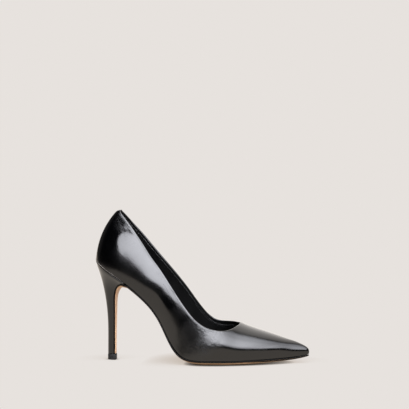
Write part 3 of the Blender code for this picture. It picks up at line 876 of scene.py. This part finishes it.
def outsole():
    """The sole with its painted edge: material 0 is the tan underside, 1 the edge and a black band along it.
    """
    stations = foot_stations(throat_station(0.0))[::-1]
    lateral, _ = outline(stations, 0.0)
    stations = stations[lateral[:, 0] > BREAST_LEAD_X[-1] + BREAST_LEAD_GAP]
    places = np.linspace(BREAST_KNOTS[0], BREAST_KNOTS[-1], BREAST_STEPS + 1)
    share = crowded_shares(ACROSS_STEPS)
    runs = ((sole_layer, stations), (flap_layer, places))
    layers = []
    for number, edge in enumerate(SOLE_EDGE_ROWS, 1):
        whole = [layer(along, share, *edge, 0.0) for layer, along in runs]
        if number == len(SOLE_EDGE_ROWS):
            moved = [black_band_shares(points, share) for points in whole]
            whole = [layer(along, shares, *edge, 1.0) for (layer, along), shares in zip(runs, moved)]
        layers.append(np.concatenate(whole))
    skin = stack_of_layers(layers, [1] * (len(layers) - 1) + [0])
    # A black band of the underside along its edge, in the edge's material
    underside = np.zeros(np.array(layers[-1].shape[:2]) - 1, int)
    underside[:, :UNDERSIDE_BLACK_LINES] = 1
    underside[:, -UNDERSIDE_BLACK_LINES:] = 1
    skin.slots[1] = underside.ravel()
    return skin


def seat_ring(share):
    """The seat outline from the lateral front corner round the back: (forward part, sideways part)."""
    front = np.interp(heel_table["breast_x"][0], last_table["feather_x"], ROW_STATIONS)
    stations = (2 * share - 1) * front
    points = wall_point(stations, np.zeros_like(stations))
    depth = (points[0, 0] - points[:, 0]) / (points[0, 0] - last_table["feather_x"][0])
    half_width = np.where(share < 0.5, -points[0, 1], points[-1, 1])
    return np.stack([np.clip(depth, 0, 1), points[:, 1] / half_width], axis=1)


def oval_ring(share):
    """An oval from the lateral front corner round the back, in the same terms."""
    angle = np.pi * share
    depth = np.sin(angle) ** (2 / OVAL_POWER)
    sideways = -np.sign(np.cos(angle)) * np.abs(np.cos(angle)) ** (2 / OVAL_POWER)
    return np.stack([depth, sideways], axis=1)


def ring_points(ring, front, back, lateral, medial):
    along = np.outer(1 - ring[:, 0], front) + np.outer(ring[:, 0], back)
    sideways = np.where(ring[:, 1] < 0, lateral, medial) * ring[:, 1]
    return np.stack([along[:, 0], sideways, along[:, 1]], axis=1)


def ring_stack(rings):
    """A closed skin of rings set one below the other, with a flat front face and flat ends."""
    skin = Skin()
    grid = skin.add(np.array(rings))
    skin.join(grid)
    half = HEEL_RING_STEPS // 2
    folded = np.stack([grid[:, : half + 1], grid[:, half:][:, ::-1]], axis=-1)
    skin.join(folded[:, 0])
    for end in (0, -1):
        skin.join(folded[end])
    return skin


def drawn_in(plan, distance):
    """Plan points of a ring, moved towards its middle by a distance."""
    return plan + unit(plan.mean(axis=0) - plan) * distance


def heel():
    share = np.linspace(0, 1, HEEL_RING_STEPS + 1)
    seat, oval = seat_ring(share), oval_ring(share)
    back_at = spline(BREAST_KNOTS[1:] - BREAST_KNOTS[1], pick(heel_table, "back_x", "back_z", "seat_share"))
    places = np.linspace(BREAST_KNOTS[1], BREAST_KNOTS[-1], BREAST_STEPS + 1)
    rows, into_heel = breast_frame(places)
    fronts = rows[:, :2] + into_heel * (SOLE_EDGE + CLEARANCE)
    backs = back_at(places - BREAST_KNOTS[1])
    rings = []
    for row, front, back in zip(rows, fronts, backs):
        blend = np.clip(back[2], 0, 1)
        ring = seat * blend + oval * (1 - blend)
        rings.append(ring_points(ring, front, back[:2], row[2], row[3]))
    for number, ring in enumerate(rings):
        ring[:, :2] = drawn_in(ring[:, :2], HEEL_SET_BACK * np.exp(-number / HEEL_SET_BACK_RINGS))
    round_top = []
    for inset, depth in HEEL_TOP_ROWS:
        plan = drawn_in(rings[0][:, :2], inset)
        x, z = below_feather(plan[:, 0], CLEARANCE + HEEL_GROOVE + depth)
        round_top.append(np.stack([x, plan[:, 1], z], axis=1))
    return ring_stack([*round_top, *rings])


def top_piece():
    oval = oval_ring(np.linspace(0, 1, HEEL_RING_STEPS + 1))
    rings = []
    for z, inset in TOP_PIECE_ROWS:
        half_width = TOP_PIECE_HALF_WIDTH - inset
        front = (TOP_PIECE_FRONT - inset, z)
        back = (TOP_PIECE_BACK + inset, z)
        rings.append(ring_points(oval, front, back, half_width, half_width))
    return ring_stack(rings)


def feed(tree, value, socket):
    """Gives a socket the output of a node, or a plain number or colour."""
    if isinstance(value, bpy.types.NodeSocket):
        tree.links.new(value, socket)
    elif socket.type == "RGBA":
        socket.default_value = (*value, 1.0)
    else:
        socket.default_value = value


def new_node(tree, kind, inputs=None, **settings):
    """A new node with its settings, and with its inputs given by name or number."""
    made = tree.nodes.new("ShaderNode" + kind)
    for name, value in settings.items():
        setattr(made, name, value)
    for key, value in (inputs or {}).items():
        feed(tree, value, made.inputs[key])
    return made


def shader_of(name):
    """A new material with its node tree and its Principled shader."""
    made = bpy.data.materials.new(name)
    made.use_nodes = True
    return made, made.node_tree, made.node_tree.nodes["Principled BSDF"]


def own_place(tree):
    return new_node(tree, "TexCoord").outputs["Object"]


def noise(tree, wavelength, detail, stretch=(1.0, 1.0, 1.0), tilt=0.0):
    """Noise of a wavelength in millimetres, stretched along axes that are tilted in side view."""
    place = {"Vector": own_place(tree), "Rotation": (0.0, np.radians(tilt), 0.0), "Scale": stretch}
    vector = new_node(tree, "Mapping", place, vector_type="TEXTURE").outputs["Vector"]
    size = {"Vector": vector, "Scale": 1 / (wavelength * MILLIMETRE), "Detail": detail}
    return new_node(tree, "TexNoise", size).outputs["Fac"]


def spread(tree, value, start, end, low, high):
    """A value between start and end, spread smoothly from low to high."""
    limits = {"Value": value, "From Min": start, "From Max": end, "To Min": low, "To Max": high}
    return new_node(tree, "MapRange", limits, interpolation_type="SMOOTHSTEP").outputs["Result"]


def near(tree, centre, inner, outer):
    """1 within the inner distance of a place in the shoe's frame and 0 past the outer one."""
    middle = (np.array(centre) - ORIGIN) * MILLIMETRE
    away = new_node(tree, "VectorMath", {0: own_place(tree), 1: middle}, operation="DISTANCE")
    return spread(tree, away.outputs["Value"], inner * MILLIMETRE, outer * MILLIMETRE, 1.0, 0.0)


def combine(tree, operation, total, *others):
    """Values joined by one operation of a maths node."""
    for value in others:
        total = new_node(tree, "Math", {0: total, 1: value}, operation=operation).outputs["Value"]
    return total


def bumps(tree, shader, *layers):
    """Bumps of the shader, one on the other: each layer is a height and its depth in millimetres."""
    below = {}
    for height, depth in layers:
        made = new_node(tree, "Bump", {"Height": height, "Distance": depth * MILLIMETRE, **below})
        below = {"Normal": made.outputs["Normal"]}
    feed(tree, below["Normal"], shader.inputs["Normal"])


def mix_colours(tree, share, first, second, blend="MIX"):
    """A colour from the first to the second by the share."""
    colours = {"Factor": share, "A": first, "B": second}
    return new_node(tree, "Mix", colours, data_type="RGBA", blend_type=blend).outputs["Result"]


def polished_leather():
    """Smooth black leather: fine grain, soft waves, lighter streaks of painted sheen where the highlight
    falls along the quarter, duller in the creases below the collar and coarse at the ball."""
    made, tree, shader = shader_of("polished_leather")
    ball = combine(tree, "MAXIMUM", *(near(tree, centre, *BALL_REACH) for centre in BALL_CENTRES))
    pebbles = combine(tree, "MULTIPLY", noise(tree, *PEBBLE_NOISE), ball)
    waves, grain = noise(tree, *WAVE_NOISE), noise(tree, *GRAIN_NOISE)
    bumps(tree, shader, (pebbles, PEBBLE_DEPTH), (waves, WAVE_DEPTH), (grain, GRAIN_DEPTH))
    least, most = LEATHER_ROUGHNESS - LEATHER_CHANGE, LEATHER_ROUGHNESS + LEATHER_CHANGE
    wear_and_highlight = spread(tree, noise(tree, *RUBBED_NOISE), *WIDE_SPAN, least, most)
    worn = spread(tree, ball, 0.0, 1.0, 0.0, BALL_ROUGHNESS)
    creased = spread(tree, near(tree, CREASED_CENTRE, *CREASED_REACH), 0.0, 1.0, 0.0, CREASED_ROUGHNESS)
    # Painted sheen: lighter streaks in the base colour, set along the quarter where the highlight falls
    centres = np.linspace(PAINTED_SHEEN_FROM, PAINTED_SHEEN_TO, PAINTED_SHEEN_PATCHES)
    patches = combine(tree, "MAXIMUM", *(near(tree, centre, *PAINTED_SHEEN_REACH) for centre in centres))
    painted_sheen_streaks = spread(tree, noise(tree, *PAINTED_SHEEN_NOISE), *NARROW_SPAN, 0.0, 1.0)
    shown = combine(tree, "MULTIPLY", patches, painted_sheen_streaks)
    feed(tree, mix_colours(tree, shown, BLACK, PAINTED_SHEEN_COLOUR), shader.inputs["Base Color"])
    feed(tree, combine(tree, "ADD", wear_and_highlight, worn, creased), shader.inputs["Roughness"])
    feed(tree, LEATHER_IOR, shader.inputs["IOR"])
    return made


def matt_leather(name, colour, roughness, sheen, grain, depth, second=None):
    """Leather, paint or rubber with a grain of a wavelength and a depth, and a second colour in patches."""
    made, tree, shader = shader_of(name)
    bumps(tree, shader, (noise(tree, grain, MATT_DETAIL), depth))
    patches = noise(tree, *PATCH_NOISE)
    second = second or [part * MATT_LIGHTER for part in colour]
    share = spread(tree, patches, *NARROW_SPAN, 0.0, 1.0)
    wear_and_highlight = spread(tree, patches, *WIDE_SPAN, roughness - MATT_CHANGE, roughness + MATT_CHANGE)
    feed(tree, mix_colours(tree, share, colour, second), shader.inputs["Base Color"])
    feed(tree, wear_and_highlight, shader.inputs["Roughness"])
    feed(tree, sheen, shader.inputs["Specular IOR Level"])
    return made


def put(name, mesh, materials):
    """A new object in the scene."""
    for made in materials:
        mesh.materials.append(made)
    piece = bpy.data.objects.new(name, mesh)
    bpy.context.collection.objects.link(piece)
    return piece


def show(name, skin, node, materials):
    """Puts a piece in the scene on the part's only body."""
    piece = put(name, skin.mesh(name), materials)
    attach(piece, "root")
    if node:
        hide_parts(node)


def shoe():
    wall = Wall(RIM_DROP, WALL_STEPS)
    wall.press(wrinkles(wall.points) + side_seam(wall.points))
    lining_wall = Wall(RIM_DROP + FOLD_DEPTH, INSIDE_STEPS * 2)
    black = polished_leather()
    matt = {row[0]: matt_leather(*row) for row in MATT_ROWS}
    inside = matt["lining_leather"]
    show("upper_leather", upper_leather(wall), "upper", [black, inside, matt["painted_highlight_edge"]])
    show("upper_stitches", sewing(wall, lining_wall), None, [matt["black_thread"]])
    show("upper_lining", lining(lining_wall), None, [inside, matt["lining_edge"]])
    show("insole_sock", insole(), "insole", [inside])
    show("leather_sole", outsole(), "outsole", [matt["sole_leather"], matt["edge_paint"]])
    show("heel_cover", heel(), "heel", [black])
    show("heel_tip", top_piece(), "top_piece", [matt["heel_rubber"]])


def glowing_sheet(name, corners):
    """A flat sheet that only glows, with its node tree and the glow."""
    mesh = bpy.data.meshes.new(name)
    mesh.from_pydata(corners, [], [tuple(range(len(corners)))])
    made, tree, shader = shader_of(name)
    tree.nodes.remove(shader)
    glow = new_node(tree, "Emission")
    feed(tree, glow.outputs["Emission"], tree.nodes["Material Output"].inputs["Surface"])
    return put(name, mesh, [made]), tree, glow


def open_share(tree, inputs):
    """The share of the sky that nothing within a distance covers."""
    return new_node(tree, "AmbientOcclusion", inputs, samples=SHADOW_SAMPLES).outputs["AO"]


def camera_ray(tree):
    return new_node(tree, "LightPath").outputs["Is Camera Ray"]


def floor():
    """A pale floor of even brightness. It darkens only close to the shoe, most where that hides the light,
    and has a tint of its own where the shoe mirrors it."""
    x = FLOOR_HALF_WIDTH
    corners = [(-x, FLOOR_FRONT, 0), (x, FLOOR_FRONT, 0), (x, FLOOR_BACK, 0), (-x, FLOOR_BACK, 0)]
    ground, tree, glow = glowing_sheet("floor", corners)
    from_light = new_node(tree, "CombineXYZ", dict(zip("XYZ", LIGHT_FROM))).outputs["Vector"]
    soft = open_share(tree, {"Distance": SHADOW_REACH, "Normal": from_light})
    contact = open_share(tree, {"Distance": CONTACT_REACH})
    # Shade is painted into the glow: darker by the share of sky the shoe covers, lighter and warmer in
    # reflections
    shaded = mix_colours(tree, soft, SHADOW_COLOUR, STUDIO_COLOUR)
    contact_shaded = mix_colours(tree, contact, CONTACT_SHADOW_COLOUR, shaded)
    mirrored = spread(tree, camera_ray(tree), 0.0, 1.0, 1.0, 0.0)
    feed(tree, mix_colours(tree, mirrored, contact_shaded, MIRRORED_FLOOR, "MULTIPLY"), glow.inputs["Color"])


def camera():
    data = bpy.data.cameras.new("camera")
    data.lens = CAMERA_LENS
    data.sensor_width = CAMERA_SENSOR
    made = bpy.data.objects.new("camera", data)
    place = Vector((np.array(CAMERA_PLACE) - ORIGIN) * MILLIMETRE)
    turn = Euler(np.radians((90 - CAMERA_DOWN, 0.0, CAMERA_AZIMUTH)))
    made.matrix_world = Matrix.LocRotScale(place, turn, None)
    bpy.context.collection.objects.link(made)
    bpy.context.scene.camera = made


def ramp(tree, source, stops, low, high):
    """A colour ramp of grey stops placed between low and high, read along one coordinate from 0 to 1."""
    made = new_node(tree, "ValToRGB", {"Fac": source})
    elements = made.color_ramp.elements
    while len(elements) < len(stops):
        elements.new(1.0)
    for element, (place, value) in zip(elements, stops):
        element.position = (place - low) / (high - low)
        element.color = (value, value, value, 1.0)
    return made.outputs["Color"]


def generated_parts(tree):
    """X, Y and Z of a place on a sheet, from 0 to 1 over its box, or of a direction into the world."""
    place = new_node(tree, "TexCoord").outputs["Generated"]
    return new_node(tree, "SeparateXYZ", {"Vector": place}).outputs


def softbox():
    low, high = np.array(SOFTBOX_LOW), np.array(SOFTBOX_HIGH)
    plan = np.array(SOFTBOX_OUTLINE)
    corners = [(x, *(low + (high - low) * share)) for x, share in plan]
    panel, tree, glow = glowing_sheet("softbox", corners)
    panel.visible_camera = False
    parts = generated_parts(tree)
    (first_x, first_share), (last_x, last_share) = plan.min(axis=0), plan.max(axis=0)
    turn = [(x - first_x) / (last_x - first_x) for x in SOFTBOX_TURN]
    heel_end = ramp(tree, parts["Z"], SOFTBOX_UP_HEEL, first_share, last_share)
    toe_end = ramp(tree, parts["Z"], SOFTBOX_UP_TOE, first_share, last_share)
    up = mix_colours(tree, spread(tree, parts["X"], *turn, 0.0, 1.0), heel_end, toe_end)
    along = ramp(tree, parts["X"], SOFTBOX_ALONG, first_x, last_x)
    feed(tree, combine(tree, "MULTIPLY", along, up, SOFTBOX_RADIANCE), glow.inputs["Strength"])
    feed(tree, SOFTBOX_COLOUR, glow.inputs["Color"])


def studio():
    """A world that is pale behind the shoe, dark on the camera's side and dark past a flag at the heel end,
    with an even pale backdrop."""
    world = bpy.data.worlds.new("studio")
    bpy.context.scene.world = world
    world.use_nodes = True
    tree = world.node_tree
    backdrop = tree.nodes["Background"]
    feed(tree, STUDIO_COLOUR, backdrop.inputs["Color"])
    parts = generated_parts(tree)
    behind = spread(tree, parts["Y"], *ROOM_BEHIND)
    flag = spread(tree, parts["X"], *ROOM_FLAG)
    strength = combine(tree, "MULTIPLY", behind, flag)
    room = new_node(tree, "Background", {"Color": ROOM_COLOUR, "Strength": strength})
    shown = {0: camera_ray(tree), 1: room.outputs["Background"], 2: backdrop.outputs["Background"]}
    mixed = new_node(tree, "MixShader", shown).outputs["Shader"]
    feed(tree, mixed, tree.nodes["World Output"].inputs["Surface"])


bpy.context.scene.view_settings.view_transform = "Standard"
shoe()
floor()
camera()
softbox()
studio()
